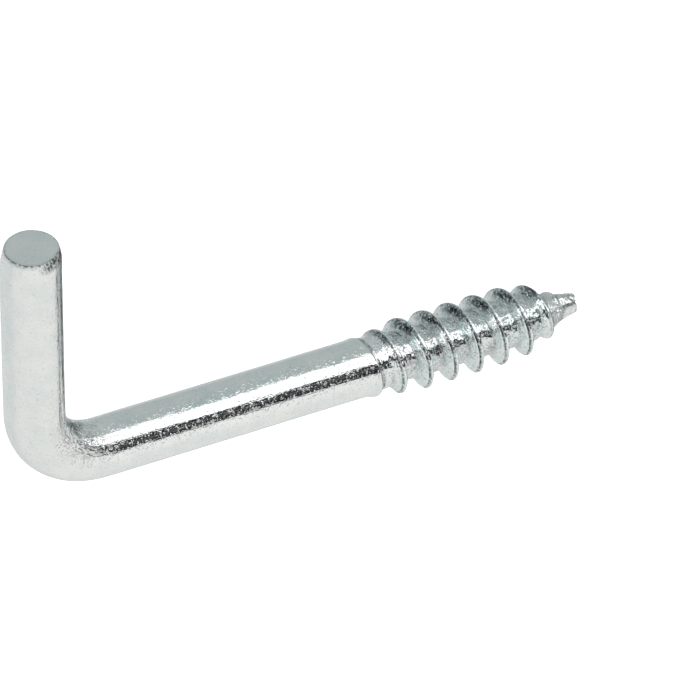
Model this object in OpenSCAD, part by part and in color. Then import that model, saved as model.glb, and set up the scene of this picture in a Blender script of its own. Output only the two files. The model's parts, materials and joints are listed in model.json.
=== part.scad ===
// Square-bend screw hook, cold formed from one length of zinc-plated steel wire.
// Millimetres. The screw axis is +X and the point is at +X. The leg runs along +Y.
// The hook lies on its side, with the plane of the bend level. The origin is on the screw
// axis, at the shoulder where the plain shank stops and the threaded end begins.

/* [Wire] */
// Diameter of the wire the hook is formed from
wire_d = 5.8; // [5:0.1:7]

/* [Leg] */
// Length of the leg, from the crossing of the two axes to the centre of its cut end
leg_l = 27.2; // [20:0.1:45]
// Angle between the leg and the shank, on the inside of the bend
bend_angle = 95; // [85:1:105]
// Radius of the bend, to the middle of the wire
bend_r = 7.5; // [6:0.1:9]
// Diameter of the flat cut face at the end of the leg
cut_d = 5.1; // [4.2:0.02:5.6]
// Length of the rolled-over rim behind the cut face
cut_roll = 2.1; // [0.3:0.1:2.6]

/* [Shank] */
// Length of the plain shank, from the crossing of the two axes to the shoulder
shank_l = 35.8; // [25:0.1:70]
// Diameter of the bead rolled up at the end of the plain shank
bead_d = 6.16; // [5.9:0.02:7.4]
// Length of the bead along the shank
bead_l = 1.3; // [0.8:0.1:2]
// Diameter of the narrow step between the bead and the neck
step_d = 5.6; // [5.5:0.02:6.2]
// Length of the narrow step
step_l = 0.4; // [0.3:0.05:0.6]

/* [Thread] */
// Outside diameter of the wood thread
thread_d = 7.3; // [6.6:0.1:8.6]
// Diameter at the bottom of the thread
core_d = 4.84; // [4:0.02:5.2]
// Distance from one thread crest to the next
pitch = 2.82; // [2:0.02:3.6]
// Length of the threaded end, from the shoulder to the tip
thread_l = 23.5; // [18:0.1:40]
// Diameter of the neck where the thread starts
neck_d = 5.36; // [4.8:0.02:5.4]
// Width of the thread flank on the shank side, as a share of the pitch
flank_back = 0.3; // [0.2:0.01:0.4]
// Width of the thread flank on the point side, as a share of the pitch
flank_front = 0.25; // [0.2:0.01:0.35]
// Where round the screw the thread crest starts, in turns
start_turn = 0.626; // [0:0.01:1]

/* [Point] */
// Length of the tapered point
point_l = 5.6; // [4:0.1:8]
// Diameter of the blunt tip
tip_d = 1.74; // [1:0.02:2.4]
// Length over which the thread dies out towards the tip
fade_l = 6.2; // [4:0.1:10]
// How deep the pinch groove cuts into the tip, as a share of its radius
pinch = 0.34; // [0:0.02:0.5]
// Direction of the pinch groove round the screw axis, in degrees
pinch_at = 50; // [0:1:180]

/* [Hidden] */
$fn = 96;
wire_r = wire_d / 2;
tangent_l = bend_r / tan(bend_angle / 2);
sweep = 180 - bend_angle;
lap = 0.05;
seg = 32;
rows_per_pitch = 11;
row_step = pitch / rows_per_pitch;
thread_h = (thread_d - core_d) / 2;
rows = ceil((thread_l - step_l) / row_step);
zinc = [0.72, 0.75, 0.76];

// Smooth rise from 0 at a to 1 at b
function rise(a, b, x) = let (t = max(0, min(1, (x - a) / (b - a)))) t * t * (3 - 2 * t);

// Height of the thread profile, from its distance to the crest in turns
function profile(w) = rise(0, 1, w < 0 ? 1 + w / flank_back : 1 - w / flank_front);

// Radius at the bottom of the thread, at distance x from the shoulder
function core_at(x) =
    let (body = neck_d / 2 + (core_d - neck_d) / 2 * rise(step_l + 0.3, step_l + 0.3 + pitch, x),
         cone = tip_d / 2 + (core_d - tip_d) / 2 * (thread_l - x) / point_l)
    min(body, cone);

// Share of the full thread height, at distance x from the shoulder
function height_at(x) =
    rise(step_l, step_l + pitch, x)
    * max(0, min(1, (thread_l - 1.2 - x) / fade_l));

// Share of the radius taken by the pinch groove, at distance x and angle a
function pinch_at_x(x, a) =
    let (off = abs((a - pinch_at + 3690) % 180 - 90))
    pinch * rise(thread_l - 3, thread_l, x) * rise(62, 90, off);

// Radius of the threaded end, at distance x and angle a
function radius_at(x, a) =
    let (turns = x / pitch - a / 360 - start_turn + 8.5,
         w = turns - floor(turns) - 0.5)
    (core_at(x) + thread_h * height_at(x) * profile(w)) * (1 - pinch_at_x(x, a));

// Position of row i along the screw axis; the first row is buried in the shank
function row_x(i) = i == 0 ? -1 : step_l - 0.15 + (thread_l - step_l + 0.15) * (i - 1) / (rows - 1);

// Leg, bend and plain shank
module wire_body() {
    mid_r = (wire_r * 2 + cut_d / 2) / 3;
    translate([tangent_l - shank_l, bend_r, 0]) {
        // Bend, where forming draws the wire a little thinner
        rotate_extrude(angle = sweep, start = 270 - sweep)
            translate([bend_r, 0]) circle(r = wire_r - 0.01);
        // Leg, with its rim rolled over at the cut end
        rotate([0, 0, 270 - sweep]) translate([bend_r, lap, 0]) rotate([90, 0, 0]) {
            cylinder(h = leg_l - cut_roll - tangent_l + lap, r = wire_r);
            translate([0, 0, leg_l - cut_roll - tangent_l + lap])
                cylinder(h = cut_roll * 0.6, r1 = wire_r, r2 = mid_r);
            translate([0, 0, leg_l - cut_roll * 0.4 - tangent_l + lap])
                cylinder(h = cut_roll * 0.4, r1 = mid_r, r2 = cut_d / 2);
        }
    }
    // Plain shank
    translate([tangent_l - shank_l - lap, 0, 0]) rotate([0, 90, 0])
        cylinder(h = shank_l - tangent_l - bead_l + lap, r = wire_r);
    // Bead at the end of the shank and the narrow step after it
    translate([-bead_l, 0, 0]) rotate([0, 90, 0])
        rotate_extrude() polygon([
            [0, 0], [wire_r, 0], [bead_d / 2, bead_l * 0.6], [bead_d / 2 - 0.04, bead_l * 0.85],
            [step_d / 2, bead_l], [step_d / 2, bead_l + step_l], [0, bead_l + step_l]]);
}

// Threaded end with its run-in and pinched point
module threaded_end() {
    points = concat(
        [for (i = [0:rows]) for (j = [0:seg - 1])
            let (x = row_x(i), a = j * 360 / seg,
                 r = i == 0 ? core_d / 2 - 0.4 : radius_at(x, a))
            [x, r * cos(a), r * sin(a)]],
        [[row_x(0), 0, 0], [thread_l + 0.12, 0, 0]]);
    first = (rows + 1) * seg;
    faces = concat(
        [for (i = [0:rows - 1]) for (j = [0:seg - 1])
            let (k = (j + 1) % seg) [i * seg + j, (i + 1) * seg + k, i * seg + k]],
        [for (i = [0:rows - 1]) for (j = [0:seg - 1])
            let (k = (j + 1) % seg) [i * seg + j, (i + 1) * seg + j, (i + 1) * seg + k]],
        [for (j = [0:seg - 1]) [first, j, (j + 1) % seg]],
        [for (j = [0:seg - 1]) [first + 1, rows * seg + (j + 1) % seg, rows * seg + j]]);
    polyhedron(points = points, faces = faces, convexity = 10);
}

// The whole hook
module screw_hook() {
    color(zinc) union() {
        wire_body();
        threaded_end();
    }
}

screw_hook();
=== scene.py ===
import json
import math

import bpy
from mathutils import Matrix, Vector


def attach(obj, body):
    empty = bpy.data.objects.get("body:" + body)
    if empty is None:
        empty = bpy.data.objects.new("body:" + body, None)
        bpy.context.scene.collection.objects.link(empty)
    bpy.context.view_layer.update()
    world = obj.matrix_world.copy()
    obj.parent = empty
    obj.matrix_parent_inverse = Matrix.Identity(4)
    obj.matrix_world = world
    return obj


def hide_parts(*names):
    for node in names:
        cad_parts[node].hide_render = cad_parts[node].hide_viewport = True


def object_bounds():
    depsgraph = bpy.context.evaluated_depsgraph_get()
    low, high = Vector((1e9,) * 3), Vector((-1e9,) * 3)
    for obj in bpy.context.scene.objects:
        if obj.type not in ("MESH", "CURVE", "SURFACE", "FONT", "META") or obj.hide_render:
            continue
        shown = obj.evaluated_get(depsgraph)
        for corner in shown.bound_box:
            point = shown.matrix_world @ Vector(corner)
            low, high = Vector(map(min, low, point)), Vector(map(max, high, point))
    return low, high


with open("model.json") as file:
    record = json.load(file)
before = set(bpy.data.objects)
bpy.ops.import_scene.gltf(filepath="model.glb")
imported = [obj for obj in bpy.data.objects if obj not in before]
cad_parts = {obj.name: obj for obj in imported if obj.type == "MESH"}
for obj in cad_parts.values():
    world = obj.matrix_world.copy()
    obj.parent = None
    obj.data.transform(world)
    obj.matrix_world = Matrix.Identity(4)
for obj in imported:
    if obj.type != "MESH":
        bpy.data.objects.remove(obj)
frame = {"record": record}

cad_low, cad_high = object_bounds()

# ---------------------------------------------------------------- sizes, in millimetres

# A side of the wire is given in degrees round it: 0 is the inside of the bend, 90 is up.
# Lumps are how uneven a surface is, from lowest to highest.
MM = 0.001
mounts = {m["name"]: m for m in frame["record"]["mounts"]}
leg_mount = mounts["hook_leg"]
leg_dir = Vector(leg_mount["axis"])

# Wire and bend. The shank and the leg are measured to the crossing of their axes.
SHOULDER_X = mounts["wood_thread"]["pos_m"][0] / MM
WIRE_R = leg_mount["dims"]["r_mm"]
BEND_ANGLE = math.degrees(math.acos(leg_dir.x))
BEND_R = 7.5
SHANK_L = 35.8
LEG_L = 27.25
WIRE_LUMPS = 0.05

# Cut face: a small round edge, then the rim that shearing rolled over. The rim is fuller on
# one side, and the face is off centre towards it.
CUT_R = 2.58
CUT_ROLL = 2.1
EDGE_R = 0.1
EDGE_TURN = math.radians(75)
RIM_SIDE = 30.0
RIM_SWELL = 0.7
RIM_OFF_CENTRE = 0.13

# Shoulder: a bead at the end of the shank, a step, two narrow grooves and the neck. Its rings
# lie nearer the point on the side at LOW_SIDE, where the bead is also fullest. Spans are
# along the wire from the shoulder.
LOW_SIDE = 143.0
RINGS_LEAN, RINGS_SHIFT = 0.48, 0.1
BEAD_SPAN, BEAD_H, BEAD_H_LESS = (-1.3, -0.25), 0.24, 0.17
STEP_SPAN, STEP_H = (-0.04, 0.22), 0.12
NECK_SPAN, NECK_R, NECK_MORE = (0.4, 0.56), 2.68, 0.06
STEP_GROOVE = (-0.04, 0.09), 0.05
NECK_GROOVE = (0.34, 0.1), 0.07
NECK_END = 0.9

# Threaded end, up to where its tip starts to bulge. It runs a little off the shank's line.
TIP_BULGE = 0.12
THREAD_L = cad_high.x / MM - SHOULDER_X - TIP_BULGE
THREAD_R = 3.65
CORE_R = 2.42
PITCH = 2.82
START_TURN = 0.626
OFF_LINE = 0.12
FLOOR_LUMPS = 0.16

# Profile across the crest, in pitches: half its land, then the flanks to shank and point
LAND = 0.03
SHANK_FLANK, POINT_FLANK = 0.27, 0.2
SHANK_SEAM = (-0.075, 0.04), 0.15
POINT_SEAM = (0.065, 0.03), 0.08
FIRST_TURN_SEAM = (-0.13, 0.05), 0.14

# Radius of the crest: how it grows after the shoulder, and how it falls over the point
CREST_RISES = ((0.5, 1.6, 0.3), (1.6, 2.6, 0.25), (2.6, 4.3, 0.2))
CREST_FALLS = (
    (15.0, 17.0, 0.18),
    (17.0, 18.2, 0.26),
    (18.2, 19.7, 0.71),
    (19.7, 21.0, 0.7),
    (21.0, 22.0, 0.9),
)

# Point: a cone that is nipped from both sides, with a flat to each side of the crease
POINT_L = 5.6
TIP_R = 0.87
POINT_BLEND = 0.12
WAIST = 0.13
FLARE = 0.05
PINCH_AT = 50.0
PINCH_DEPTH = 0.28
DEEP_FLAT_AT, DEEP_FLAT = PINCH_AT + 42, 0.24
FAINT_FLAT_AT, FAINT_FLAT = PINCH_AT - 20, 0.09

TANGENT_L = BEND_R / math.tan(math.radians(BEND_ANGLE) / 2)
SWEEP = math.pi - math.radians(BEND_ANGLE)
SHANK_STRAIGHT = SHANK_L - TANGENT_L
LEG_STRAIGHT = LEG_L - TANGENT_L - EDGE_R * (1 - math.cos(EDGE_TURN))
ARC_L = BEND_R * SWEEP
WIRE_L = SHANK_STRAIGHT + ARC_L + LEG_STRAIGHT

# Each stretch of the wire from the cut face to the tip: rows of the mesh, and length
ROWS_A_TURN = 60
COLUMNS = 112
BEAD_L = 1.6
STRETCHES = (
    ("cut face", 9, 0.0),
    ("edge", 6, 0.0),
    ("rolled rim", 14, CUT_ROLL),
    ("leg", 18, LEG_STRAIGHT - CUT_ROLL),
    ("bend", 34, ARC_L),
    ("shank", 24, SHANK_STRAIGHT - BEAD_L),
    ("bead", 34, BEAD_L),
    ("thread", round(THREAD_L / PITCH * ROWS_A_TURN), THREAD_L),
    ("tip", 9, 0.0),
)
ALL_ROWS = sum(rows for _, rows, _ in STRETCHES)
WELD = 2e-6
SEED = 7.0

# ---------------------------------------------------------------- writing sums as nodes


class Term:
    """A number field in a node tree, so that a formula can be written as one."""

    def __init__(self, tree, socket):
        self.tree, self.socket = tree, socket

    def put(self, kind, *values):
        node = self.tree.nodes.new("ShaderNodeMath")
        node.operation = kind
        for i, value in enumerate(values):
            feed(self.tree, value, node.inputs[i])
        return Term(self.tree, node.outputs[0])

    def __add__(self, other):
        return self.put("ADD", self, other)

    def __sub__(self, other):
        return self.put("SUBTRACT", self, other)

    def __rsub__(self, other):
        return self.put("SUBTRACT", other, self)

    def __mul__(self, other):
        return self.put("MULTIPLY", self, other)

    def __truediv__(self, other):
        return self.put("DIVIDE", self, other)

    def power(self, n):
        return self.put("POWER", self, n)

    def sine(self):
        return self.put("SINE", self)

    def cosine(self):
        return self.put("COSINE", self)

    def turn_from(self, other):
        return self.put("ARCTAN2", self, other)

    def least(self, other):
        return self.put("MINIMUM", self, other)

    def soft_least(self, other, reach):
        return self.put("SMOOTH_MIN", self, other, reach)

    def most(self, other):
        return self.put("MAXIMUM", self, other)

    def size(self):
        return self.put("ABSOLUTE", self)

    def part_of_one(self):
        return self.put("FRACT", self)

    __radd__ = __add__
    __rmul__ = __mul__


def feed(tree, value, socket):
    if isinstance(value, Term):
        tree.links.new(value.socket, socket)
    elif isinstance(value, bpy.types.NodeSocket):
        tree.links.new(value, socket)
    else:
        socket.default_value = value


def fixed_number(tree, number):
    node = tree.nodes.new("ShaderNodeValue")
    node.outputs[0].default_value = number
    return Term(tree, node.outputs[0])


def ramp(tree, x, start, end, low=0.0, high=1.0, smooth=False):
    """Goes from low to high as x goes from start to end, and stays level outside."""
    node = tree.nodes.new("ShaderNodeMapRange")
    node.interpolation_type = "SMOOTHSTEP" if smooth else "LINEAR"
    node.clamp = True
    for name, value in (
        ("Value", x),
        ("From Min", start),
        ("From Max", end),
        ("To Min", low),
        ("To Max", high),
    ):
        feed(tree, value, node.inputs[name])
    return Term(tree, node.outputs["Result"])


def vector_of(tree, x, y, z):
    node = tree.nodes.new("ShaderNodeCombineXYZ")
    for i, value in enumerate((x, y, z)):
        feed(tree, value, node.inputs[i])
    return node.outputs[0]


def parts_of(tree, vector):
    node = tree.nodes.new("ShaderNodeSeparateXYZ")
    feed(tree, vector, node.inputs[0])
    return [Term(tree, out) for out in node.outputs]


def mixed(tree, share, one, other):
    """A colour that goes from one to the other as share goes from 0 to 1."""
    node = tree.nodes.new("ShaderNodeMix")
    node.data_type = "RGBA"
    share_in, one_in, other_in = (node.inputs[i] for i in (0, 6, 7))
    feed(tree, share, share_in)
    feed(tree, one, one_in)
    feed(tree, other, other_in)
    return node.outputs[2]


# ---------------------------------------------------------------- the wire, as a rule


def named_inputs(tree):
    """Makes the rule's inputs. Gives the numbers to set, by identifier, and the finish's."""
    numbers = {}
    for name, value in (
        ("Wire radius", WIRE_R),
        ("Bend radius", BEND_R),
        ("Cut face radius", CUT_R),
        ("Thread radius", THREAD_R),
        ("Core radius", CORE_R),
        ("Neck radius", NECK_R),
        ("Pitch", PITCH),
        ("Thread length", THREAD_L),
        ("Point length", POINT_L),
        ("Tip radius", TIP_R),
        ("Seed", SEED),
    ):
        made = tree.interface.new_socket(
            name=name, in_out="INPUT", socket_type="NodeSocketFloat"
        )
        made.default_value = value
        numbers[made.identifier] = value
    coat = tree.interface.new_socket(
        name="Finish", in_out="INPUT", socket_type="NodeSocketMaterial"
    )
    tree.interface.new_socket(
        name="Hook", in_out="OUTPUT", socket_type="NodeSocketGeometry"
    )
    return numbers, coat.identifier


def keep(tree, mesh, name, kind, value):
    """Stores a value at each point of the mesh, for the finish to read."""
    node = tree.nodes.new("GeometryNodeStoreNamedAttribute")
    node.data_type = kind
    node.inputs["Name"].default_value = name
    tree.links.new(mesh, node.inputs["Geometry"])
    feed(tree, value, node.inputs["Value"])
    return node.outputs["Geometry"]


def hook_rule():
    """The whole hook as one closed skin: a grid wound round the wire's centre line, with its
    rows following the helix, so that the thread's crest is never stepped."""
    tree = bpy.data.node_groups.new("formed_wire", "GeometryNodeTree")
    numbers, coat = named_inputs(tree)
    given = tree.nodes.new("NodeGroupInput")

    def size(name):
        return Term(tree, given.outputs[name])

    wire_r, bend_r, pitch = size("Wire radius"), size("Bend radius"), size("Pitch")
    core_r, neck_r, tip_r = size("Core radius"), size("Neck radius"), size("Tip radius")
    thread_l = size("Thread length")

    grid = tree.nodes.new("GeometryNodeMeshGrid")
    rows = ALL_ROWS + ROWS_A_TURN + 1
    grid.inputs["Size X"].default_value = rows - 1
    grid.inputs["Size Y"].default_value = COLUMNS
    grid.inputs["Vertices X"].default_value = rows
    grid.inputs["Vertices Y"].default_value = COLUMNS + 1
    place = tree.nodes.new("GeometryNodeInputPosition")
    gx, gy, _ = parts_of(tree, place.outputs[0])
    turn = gy / COLUMNS + 0.5
    row = gx + (rows - 1) / 2 + turn * ROWS_A_TURN - ROWS_A_TURN
    a = turn * math.tau

    # Distance along the centre line, zero at the shoulder and negative towards the leg
    u = fixed_number(tree, -WIRE_L)
    at = 0
    span = {}
    for name, count, length in STRETCHES:
        span[name] = (at, at + count)
        if length:
            u = u + ramp(tree, row, *span[name], 0.0, length)
        at += count
    edge_row, rim_row = span["edge"]
    face_share = ramp(tree, row, *span["cut face"])
    tip_share = ramp(tree, row, *span["tip"], 1.0, 0.0)

    def towards(degrees):
        """1 on the side of the wire that faces this direction, -1 on the far side."""
        return (a - math.radians(degrees)).cosine()

    def blend(one, other, share):
        return one + (other - one) * share

    def line_at(x, centre, half):
        """1 along a narrow line, 0 away from it."""
        return ramp(tree, (x - centre).size(), 0.0, half, 1.0, 0.0, smooth=True)

    def groove_at(x, line, depth):
        return line_at(x, *line) * depth

    def to_tip(start, end, low=0.0, high=1.0, smooth=False):
        """A ramp over the last stretch of the wire, its ends measured back from the tip."""
        return ramp(tree, u, THREAD_L - start, THREAD_L - end, low, high, smooth)

    # Rolled rim, fuller on one side, and plain wire
    rim = ramp(tree, row, *span["rolled rim"])
    fuller = towards(RIM_SIDE) * RIM_SWELL + 0.1
    rim = rim * (1.0 + RIM_SWELL + fuller - rim * (RIM_SWELL + fuller))
    body = blend(size("Cut face radius"), wire_r, rim)

    # Shoulder. Its rings lean: us is the distance along the wire as they see it.
    low_side = towards(LOW_SIDE)
    high_share = (1.0 - low_side) * 0.5
    near = ramp(tree, u, -3.0, -0.8, smooth=True)
    near = near * ramp(tree, u, 0.6, 1.6, 1.0, 0.0, smooth=True)
    us = u - (low_side * RINGS_LEAN - RINGS_SHIFT) * near
    bead_h = BEAD_H - high_share * BEAD_H_LESS
    body = body + ramp(tree, us, *BEAD_SPAN, smooth=True) * bead_h
    body = blend(body, wire_r - STEP_H, ramp(tree, us, *STEP_SPAN))
    body = blend(body, neck_r + high_share * NECK_MORE, ramp(tree, us, *NECK_SPAN))
    body = body - groove_at(us, *STEP_GROOVE) - groove_at(us, *NECK_GROOVE)
    body = blend(body, core_r, ramp(tree, u, NECK_END, NECK_END + PITCH, smooth=True))
    cone = tip_r + (core_r - tip_r) * (thread_l - u) / size("Point length")
    waist = line_at(u, THREAD_L - 1.9, 1.6) * (1.0 - high_share) * WAIST
    body = body.soft_least(cone - waist, POINT_BLEND)

    # Thread: the radius of its crest along the screw, then the profile across the crest with
    # the gentler flank to the shank, and a rolled seam at each edge of its land
    reach = size("Thread radius") + 0.02
    for start, end, drop in CREST_FALLS:
        reach = reach - ramp(tree, u, start, end, 0.0, drop)
    for start, end, lift in CREST_RISES:
        reach = reach - ramp(tree, u, start, end, lift, 0.0)
    w = (u / pitch - turn + (0.5 - START_TURN)).part_of_one() - 0.5
    flank = ((w + LAND) / SHANK_FLANK + 1.0).least(1.0 - (w - LAND) / POINT_FLANK)
    crest = 1.0 - (1.0 - flank.least(1.0).most(0.0)).power(1.5)
    height = (reach - body).most(0.0) * ramp(tree, u, 0.35, 0.7)
    height = height * to_tip(2.8, 1.9, 1.0, 0.0, smooth=True)
    shown = ramp(tree, height, 0.0, 0.25) * to_tip(3.8, 5.2)
    seams = groove_at(w, *SHANK_SEAM) + groove_at(w, *POINT_SEAM)
    line, depth = FIRST_TURN_SEAM
    first_turn = ramp(tree, u, 0.5, 1.0) * ramp(tree, u, 3.4, 2.2)
    seams = seams + line_at(w, *line) * first_turn * depth
    skin = body + crest * height - seams * shown

    # Pinch: the point is nipped from both sides, which leaves two lobes, a crease and flats
    off_crease = (a - math.radians(PINCH_AT)).sine().size()
    groove = ramp(tree, off_crease, 0.2, 0.0)
    nip = to_tip(3.4, 0.8, smooth=True)
    flare = line_at(u, THREAD_L - 0.55, 0.7) * FLARE
    skin = skin * (1.0 - groove * nip * PINCH_DEPTH) + flare
    for side, share, depth in (
        (DEEP_FLAT_AT, nip, DEEP_FLAT),
        (FAINT_FLAT_AT, to_tip(3.3, 2.0, smooth=True), FAINT_FLAT),
    ):
        skin = skin.least(skin * (1.0 - share * depth) / towards(side).most(0.3))

    edge = ramp(tree, row, *span["edge"], 0.0, EDGE_TURN)
    edge_out = edge.sine() * (EDGE_R / math.sin(EDGE_TURN))
    r = ((skin - EDGE_R) * face_share + edge_out) * tip_share

    # Faint unevenness of a cold-formed wire, and the rough floor of the thread
    def lumps(scale, offset):
        noise = tree.nodes.new("ShaderNodeTexNoise")
        noise.noise_dimensions = "4D"
        feed(tree, size("Seed") + offset, noise.inputs["W"])
        noise.inputs["Scale"].default_value = scale
        noise.inputs["Detail"].default_value = 2.0
        smooth_wire = vector_of(tree, u, a.cosine() * r, a.sine() * r)
        feed(tree, smooth_wire, noise.inputs["Vector"])
        return Term(tree, noise.outputs[0]) - 0.5

    threaded = ramp(tree, u, 0.4, 1.6)
    rough = lumps(1.6, 3.0) * FLOOR_LUMPS * threaded * (1.2 - crest)
    r = r + (lumps(0.35, 0.0) * WIRE_LUMPS + rough) * face_share * tip_share

    # Centre line: leg, arc, shank
    s = u + SHANK_STRAIGHT
    turned = (s / bend_r).least(0.0).most(-SWEEP)
    past = s - turned * bend_r
    cos_t, sin_t = turned.cosine(), turned.sine()

    # Along the line: the round edge of the cut face, and the tip's dished and notched end
    past = past - (edge.cosine() - math.cos(EDGE_TURN)) * EDGE_R
    lobes = towards(PINCH_AT + 90)
    past = past - (1.0 - tip_share * tip_share) * 0.1 - groove * nip * tip_share * 0.1
    past = past - (1.0 - lobes * lobes) * nip * tip_share * 0.16 - nip * 0.08

    # Across it: the rim's face is off centre, and the threaded end is off the shank's line
    uneven = ramp(tree, row, *span["rolled rim"], 1.0, 0.0).power(1.5) * RIM_OFF_CENTRE
    drift = ramp(tree, u, 0.5, 6.0, smooth=True) * to_tip(4.0, 0.0, 1.0, 0.2)
    rim_angle, low_angle = math.radians(RIM_SIDE), math.radians(LOW_SIDE)
    out = a.cosine() * r + uneven * math.cos(rim_angle)
    out = out + drift * (OFF_LINE * math.cos(low_angle))
    up = a.sine() * r + drift * (OFF_LINE * math.sin(low_angle))
    up = up + uneven * math.sin(rim_angle)

    x = sin_t * bend_r + cos_t * past - sin_t * out + (TANGENT_L - SHANK_L + SHOULDER_X)
    y = bend_r - cos_t * bend_r + sin_t * past + cos_t * out

    # Where shade and dark reflections are painted into the plating's colour, from 0 to 1
    # Painted shade: dark lines along the seams at both edges of the crest's land
    seam_shade = line_at(w, -0.07, 0.05) + line_at(w, 0.07, 0.035) * 0.7
    # Painted reflection: dark patches on the crests' upper side, on one side of the screw
    crest_top_reflection = ramp(tree, towards(-12), 0.82, 0.93) * ramp(tree, w, -0.28, -0.18)
    crest_top_reflection = crest_top_reflection * ramp(tree, w, 0.0, -0.05)
    # Painted reflection: a dark patch on one side of the rolled rim, behind the cut face
    rim_side_reflection = ramp(tree, towards(68), 0.84, 0.95)
    rim_side_reflection = rim_side_reflection * ramp(tree, row, rim_row + 8, rim_row + 3)
    past_face = ramp(tree, row, edge_row - 0.5, edge_row + 1)
    painted_shade = seam_shade * shown * threaded
    # Also painted reflection on one side of the point, painted shade in the shoulder's two
    # grooves and along the point's crease, and a dark ring behind the cut face
    for painted_mark in (
        crest_top_reflection * shown * threaded * 0.92,
        nip * ramp(tree, towards(28), 0.6, 0.85) * 0.35,
        line_at(row, edge_row + 4, 5.0),
        rim_side_reflection * past_face * 1.15,
        line_at(us, -0.04, 0.1),
        line_at(us, 0.36, 0.1),
        ramp(tree, off_crease, 0.26, 0.1) * nip,
    ):
        painted_shade = painted_shade.most(painted_mark)

    # The marks are kept before the grid is moved, while its places are rows and columns
    straight = vector_of(tree, u, a.cosine() * r, a.sine() * r)
    flat_face = ramp(tree, row, edge_row, edge_row + 1, 1.0, 0.0)
    mesh = keep(tree, grid.outputs["Mesh"], "wire_line", "FLOAT_VECTOR", straight)
    mesh = keep(tree, mesh, "valley", "FLOAT", (1.0 - crest) * threaded)
    mesh = keep(tree, mesh, "cut", "FLOAT", flat_face)
    mesh = keep(tree, mesh, "painted_shade", "FLOAT", painted_shade)

    moved = tree.nodes.new("GeometryNodeSetPosition")
    feed(tree, vector_of(tree, x * MM, y * MM, up * MM), moved.inputs["Position"])
    tree.links.new(mesh, moved.inputs["Geometry"])
    weld = tree.nodes.new("GeometryNodeMergeByDistance")
    weld.inputs["Distance"].default_value = WELD
    tree.links.new(moved.outputs[0], weld.inputs["Geometry"])
    # The rows run from the cut face to the tip, so the grid's faces have to be turned over
    turned_out = tree.nodes.new("GeometryNodeFlipFaces")
    tree.links.new(weld.outputs[0], turned_out.inputs[0])
    real = tree.nodes.new("GeometryNodeRealizeInstances")
    tree.links.new(turned_out.outputs[0], real.inputs[0])
    coated = tree.nodes.new("GeometryNodeSetMaterial")
    tree.links.new(real.outputs[0], coated.inputs["Geometry"])
    tree.links.new(given.outputs["Finish"], coated.inputs["Material"])
    end = tree.nodes.new("NodeGroupOutput")
    tree.links.new(coated.outputs[0], end.inputs[0])
    return tree, numbers, coat


# ---------------------------------------------------------------- finishes

PALE_ZINC = (0.92, 0.92, 0.905, 1.0)
GREY_ZINC = (0.81, 0.85, 0.855, 1.0)
BLUED_ZINC = (0.77, 0.86, 0.86, 1.0)
# The dark colour of pits, and of painted shade and reflection
STAIN_AND_SHADE = (0.05, 0.062, 0.066, 1.0)


def new_effect(name, inputs, outputs):
    group = bpy.data.node_groups.new(name, "ShaderNodeTree")
    for label, kind, value in inputs:
        made = group.interface.new_socket(
            name=label, in_out="INPUT", socket_type=kind
        )
        if value is not None:
            made.default_value = value
    for label in outputs:
        group.interface.new_socket(
            name=label, in_out="OUTPUT", socket_type="NodeSocketFloat"
        )
    return (
        group,
        group.nodes.new("NodeGroupInput").outputs,
        group.nodes.new("NodeGroupOutput").inputs,
    )


def noise_in(tree, vector, scale, detail=3.0, rough=0.55, stretch=None):
    if stretch:
        by = tree.nodes.new("ShaderNodeVectorMath")
        by.operation = "MULTIPLY"
        feed(tree, vector, by.inputs[0])
        by.inputs[1].default_value = stretch
        vector = by.outputs[0]
    node = tree.nodes.new("ShaderNodeTexNoise")
    feed(tree, vector, node.inputs["Vector"])
    feed(tree, scale, node.inputs["Scale"])
    node.inputs["Detail"].default_value = detail
    node.inputs["Roughness"].default_value = rough
    return Term(tree, node.outputs[0])


def plate_grain():
    """Crystalline grain of electroplated zinc, with shallow pits. Heights are in
    millimetres."""
    tree, given, out = new_effect(
        "plate_grain",
        [
            ("Vector", "NodeSocketVector", None),
            ("Grain per mm", "NodeSocketFloat", 4.0),
            ("Depth", "NodeSocketFloat", 0.02),
            ("Pimples", "NodeSocketFloat", 0.6),
        ],
        ["Height", "Pits"],
    )
    per_mm, depth = Term(tree, given["Grain per mm"]), Term(tree, given["Depth"])
    fine = noise_in(tree, given["Vector"], per_mm, 2.0, 0.6)
    broad = noise_in(tree, given["Vector"], per_mm * 0.3, 2.0, 0.5)
    pits = ramp(tree, fine, 0.42, 0.3, smooth=True)
    pimples = ramp(tree, fine, 0.56, 0.7, smooth=True) * Term(tree, given["Pimples"])
    height = fine * 0.25 + broad * 0.5 + pimples - pits * 0.6
    feed(tree, height * depth, out["Height"])
    feed(tree, pits, out["Pits"])
    return tree


def draw_marks():
    """Long faint marks left along the wire where it was drawn through the die."""
    tree, given, out = new_effect(
        "draw_marks",
        [("Vector", "NodeSocketVector", None), ("Depth", "NodeSocketFloat", 0.01)],
        ["Height", "Streak"],
    )
    depth = Term(tree, given["Depth"])
    wide = noise_in(tree, given["Vector"], 1.0, 3.0, 0.6, (0.12, 1.6, 1.6))
    thin = noise_in(tree, given["Vector"], 1.0, 2.0, 0.6, (1.3, 6.0, 6.0))
    feed(tree, (wide + thin * 0.3) * depth, out["Height"])
    feed(tree, thin, out["Streak"])
    return tree


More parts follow.
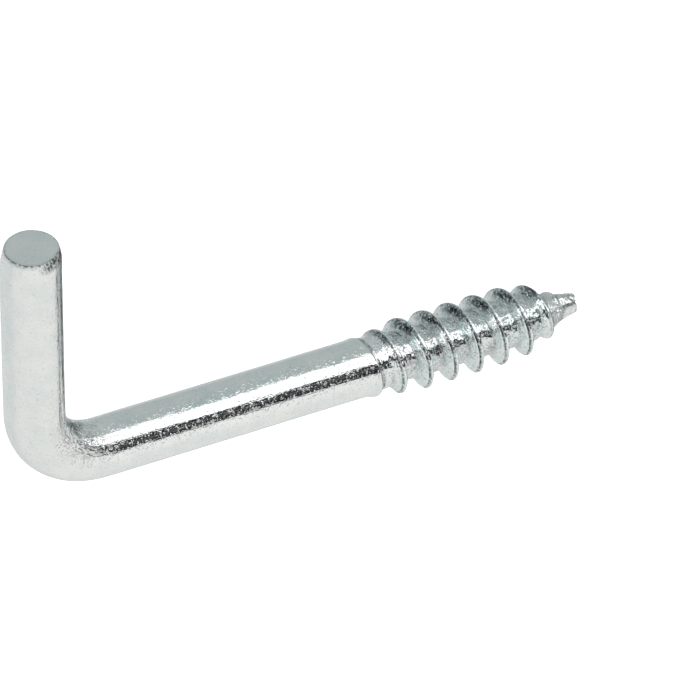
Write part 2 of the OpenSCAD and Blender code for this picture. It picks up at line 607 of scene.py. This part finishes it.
def zinc_plate():
    finish = bpy.data.materials.new("bright_zinc_plate")
    finish.use_nodes = True
    tree = finish.node_tree
    shader = tree.nodes["Principled BSDF"]
    shader.inputs["Metallic"].default_value = 1.0

    def mark(name, output="Fac"):
        node = tree.nodes.new("ShaderNodeAttribute")
        node.attribute_name = name
        return node.outputs[output]

    def placed(effect):
        node = tree.nodes.new("ShaderNodeGroup")
        node.node_tree = effect
        feed(tree, line, node.inputs["Vector"])
        return node

    # Regions of the wire, each 1 inside and 0 outside
    line = mark("wire_line", "Vector")
    valley, cut = Term(tree, mark("valley")), Term(tree, mark("cut"))
    # Where shade and dark reflections are painted, as the rule stored it
    painted_shade = Term(tree, mark("painted_shade"))
    along, inner, across = parts_of(tree, line)
    bend_start, bend_end = -SHANK_STRAIGHT, -SHANK_STRAIGHT - ARC_L
    threaded = ramp(tree, along, 0.0, 1.5)
    tip = ramp(tree, along, THREAD_L - 4.2, THREAD_L - 3.0)
    leg = ramp(tree, along, bend_start, bend_end)
    rim_end = ramp(tree, along, -(WIRE_L - CUT_ROLL), -(WIRE_L - 1.2))
    bend = ramp(tree, along, bend_start + 0.5, bend_start - 3.0)
    bend = bend * ramp(tree, along, bend_end - 2.0, bend_end + 3.0)
    wrinkled = bend * ramp(tree, inner, -0.4, 1.6)

    # Relief: grain everywhere, deepest on the thread and inside the bend, and draw marks
    grain = placed(plate_grain())
    feed(tree, 3.2 - threaded * 0.5 + tip * 1.1, grain.inputs["Grain per mm"])
    pimples = (1.0 - threaded) * (1.0 - leg) * 0.9 + 0.6
    feed(tree, pimples, grain.inputs["Pimples"])
    depth = threaded * 0.045 + valley * 0.03 + wrinkled * 0.06 + leg * 0.01 + 0.013
    depth = depth * (1.0 + tip * 0.4) + painted_shade * rim_end * 0.06
    feed(tree, depth * (1.0 - cut * 0.7), grain.inputs["Depth"])
    pits = Term(tree, grain.outputs["Pits"])
    marks = placed(draw_marks())
    depth = (1.0 - threaded) * (1.0 - cut) * 0.03 + wrinkled * 0.09
    feed(tree, depth, marks.inputs["Depth"])

    height = Term(tree, grain.outputs["Height"]) + Term(tree, marks.outputs["Height"])
    bump = tree.nodes.new("ShaderNodeBump")
    bump.inputs["Strength"].default_value = 1.0
    bump.inputs["Distance"].default_value = MM
    feed(tree, height, bump.inputs["Height"])
    tree.links.new(bump.outputs[0], shader.inputs["Normal"])

    cloud = noise_in(tree, line, 0.5, 3.0, 0.6)
    speck = noise_in(tree, line, 5.5, 3.0, 0.7)
    rough = ramp(tree, cloud, 0.3, 0.7, 0.08, 0.12) + leg * 0.035 + pits * 0.05
    feed(tree, rough, shader.inputs["Roughness"])

    # The clear passivation shows a faint blue-green where the thread was rolled
    clouded = ramp(tree, cloud * 0.6 + speck * 0.4, 0.38, 0.62)
    tint = mixed(tree, clouded, GREY_ZINC, PALE_ZINC)
    bluing = ramp(tree, noise_in(tree, line, 0.8, 2.0, 0.5), 0.42, 0.58) * threaded
    blued = mixed(tree, bluing * (1.0 - tip) * 0.75, tint, BLUED_ZINC)

    # Darkened places: dark pits, painted shade on the thread's floor, painted shade and
    # reflection where the rule marked them, and dark streaks inside the bend painted as
    # reflection
    stain = pits * (threaded * 0.22 + wrinkled * 0.4 + 0.1)
    # Painted shade: darker patches on the thread's floors, where shade falls
    valley_shade = ramp(tree, speck * 0.5 + cloud * 0.5, 0.42, 0.56)
    valley_shade = valley_shade * ramp(tree, valley, 0.7, 1.0) * 0.34 + threaded * 0.01
    # Painted shade and reflection, broken into dots
    dots = ramp(tree, noise_in(tree, line, 3.2, 2.0, 0.6), 0.42, 0.54, 0.25, 1.0) * painted_shade
    # Painted reflection: dark streaks along the draw marks on the bend's inner upper side
    marks_and_reflection = ramp(tree, Term(tree, marks.outputs["Streak"]), 0.5, 0.62) * wrinkled * 0.6
    marks_and_reflection = marks_and_reflection * ramp(tree, inner, 0.6, 1.4) * ramp(tree, across, 0.6, 1.5)
    # Dark pits mixed with painted shade and reflection, towards one dark colour
    pits_and_shade = stain + marks_and_reflection + valley_shade * (1.0 - tip) + dots * 0.86
    feed(tree, mixed(tree, pits_and_shade.least(0.95), blued, STAIN_AND_SHADE), shader.inputs["Base Color"])
    return finish


# ---------------------------------------------------------------- the piece


def form_hook():
    tree, numbers, coat = hook_rule()
    blank = bpy.data.meshes.new("wire_blank")
    maker = bpy.data.objects.new("wire_blank", blank)
    bpy.context.scene.collection.objects.link(maker)
    rule = maker.modifiers.new("formed_wire", "NODES")
    rule.node_group = tree
    for identifier, value in numbers.items():
        rule[identifier] = value
    rule[coat] = zinc_plate()
    seen = maker.evaluated_get(bpy.context.evaluated_depsgraph_get())
    mesh = bpy.data.meshes.new_from_object(seen)
    bpy.data.objects.remove(maker)
    mesh.name = "screw_hook_body"
    mesh.shade_smooth()
    mesh.set_sharp_from_angle(angle=math.radians(38))
    hook = bpy.data.objects.new("screw_hook_body", mesh)
    bpy.context.scene.collection.objects.link(hook)
    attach(hook, "root")
    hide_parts("screw_hook")


# ---------------------------------------------------------------- floor, light and camera

scene = bpy.context.scene
scene.view_settings.view_transform = "Standard"
scene.view_settings.look = "None"

WHITE = (1.0, 1.0, 1.0, 1.0)
FLOOR_HALF = 3.0
FLOOR_GAP = 0.00002

# Light round the screw's axis, in degrees: 0 comes from the leg's side and 90 from above.
# It is white where the lamps are, black where the room is open, and grey elsewhere.
BLACK = (0.015, 0.015, 0.02)
LAMP_WHITE = (1.7, 1.7, 1.7)
BANDS = (
    (-180, (0.8, 0.81, 0.8)),
    (-155, (0.71, 0.735, 0.73)),
    (-120, (0.72, 0.76, 0.75)),
    (-85, (0.44, 0.49, 0.49)),
    (-42, (0.46, 0.51, 0.505)),
    (7, (0.41, 0.465, 0.465)),
    (9, LAMP_WHITE),
    (46, LAMP_WHITE),
    (48, BLACK),
    (60, (0.03, 0.03, 0.034)),
    (65, (0.15, 0.15, 0.15)),
    (70, BLACK),
    (82, BLACK),
    (86, (0.93, 0.93, 0.92)),
    (108, (0.9, 0.905, 0.89)),
    (135, (0.82, 0.83, 0.81)),
    (180, (0.8, 0.81, 0.8)),
)
# Dark parts of the room, each bounded along these directions: three past the screw's point,
# and one past the bend
DARK_PARTS = (
    (("x", 0.72, 0.78), ("z", 0.02, -0.12), ("y", -0.03, -0.13), ("y", -0.55, -0.45)),
    (("x", 0.735, 0.765), ("z", 0.15, 0.12), ("z", -0.13, -0.1), ("y", -0.4, -0.5)),
    (("x", 0.6, 0.7), ("z", -0.15, -0.25), ("y", 0.05, -0.1)),
    (("x", -0.55, -0.66), ("y", -0.05, 0.1), ("z", -0.22, -0.36)),
)
DARK_COLOUR = (0.02, 0.027, 0.03, 1.0)
LAMP_PLACE, LAMP_SIDE, LAMP_WATTS = (0.0, -0.1, 0.7), 0.8, 2.0

VIEW_RIGHT = Vector((0.8632, 0.0833, 0.498))
VIEW_BACK = Vector((-0.431, 0.6353, 0.6408))
VIEW_AIM = Vector((-1.988, 2.628, 0.0)) * MM
VIEW_AWAY = 0.75
LENS, SENSOR = 405.1, 36.0


def pale_floor():
    half, level = FLOOR_HALF, cad_low.z - FLOOR_GAP
    corners = [(-half, -half), (half, -half), (half, half), (-half, half)]
    mesh = bpy.data.meshes.new("floor")
    mesh.from_pydata([(x, y, level) for x, y in corners], [], [(0, 1, 2, 3)])
    floor = bpy.data.objects.new("floor", mesh)
    scene.collection.objects.link(floor)
    paper = bpy.data.materials.new("pale_floor")
    paper.use_nodes = True
    shader = paper.node_tree.nodes["Principled BSDF"]
    shader.inputs["Base Color"].default_value = (0.9, 0.9, 0.9, 1.0)
    shader.inputs["Roughness"].default_value = 1.0
    shader.inputs["Specular IOR Level"].default_value = 0.0
    shader.inputs["Emission Color"].default_value = WHITE
    shader.inputs["Emission Strength"].default_value = 0.75
    mesh.materials.append(paper)
    floor.visible_glossy = False


def studio_light():
    world = bpy.data.worlds.new("studio")
    scene.world = world
    world.use_nodes = True
    tree = world.node_tree
    back = tree.nodes["Background"]
    spot = tree.nodes.new("ShaderNodeTexCoord")
    x, y, z = parts_of(tree, spot.outputs["Generated"])
    bands = tree.nodes.new("ShaderNodeValToRGB")
    bands.color_ramp.interpolation = "LINEAR"
    feed(tree, z.turn_from(y) / math.tau + 0.5, bands.inputs[0])
    stops = bands.color_ramp.elements
    while len(stops) < len(BANDS):
        stops.new(1.0)
    for stop, (degrees, colour) in zip(stops, BANDS):
        stop.position = (degrees + 180) / 360
        stop.color = (*colour, 1.0)

    direction = {"x": x, "y": y, "z": z}
    dark = fixed_number(tree, 0.0)
    for limits in DARK_PARTS:
        part = fixed_number(tree, 1.0)
        for axis, start, end in limits:
            part = part * ramp(tree, direction[axis], start, end)
        dark = dark.most(part)
    room = mixed(tree, dark, bands.outputs[0], DARK_COLOUR)
    # What the camera sees past the floor is plain white
    path = tree.nodes.new("ShaderNodeLightPath")
    seen = mixed(tree, path.outputs["Is Camera Ray"], room, WHITE)
    tree.links.new(seen, back.inputs["Color"])
    back.inputs["Strength"].default_value = 1.0

    lamp = bpy.data.lights.new("soft_overhead", "AREA")
    lamp.shape = "RECTANGLE"
    lamp.size = lamp.size_y = LAMP_SIDE
    lamp.energy = LAMP_WATTS
    box = bpy.data.objects.new("soft_overhead", lamp)
    box.location = LAMP_PLACE
    box.visible_glossy = False
    scene.collection.objects.link(box)


def place_camera():
    # The view looks down on the plane of the bend, rolled so that the leg points up
    right, back = VIEW_RIGHT.normalized(), VIEW_BACK.normalized()
    up = back.cross(right).normalized()
    right = up.cross(back)
    lens = bpy.data.cameras.new("camera")
    lens.sensor_width = SENSOR
    lens.lens = LENS
    lens.clip_start, lens.clip_end = 0.05, 20.0
    camera = bpy.data.objects.new("camera", lens)
    turned = Matrix((right, up, back)).transposed().to_4x4()
    camera.matrix_world = Matrix.Translation(VIEW_AIM + back * VIEW_AWAY) @ turned
    scene.collection.objects.link(camera)
    scene.camera = camera


form_hook()
pale_floor()
studio_light()
place_camera()
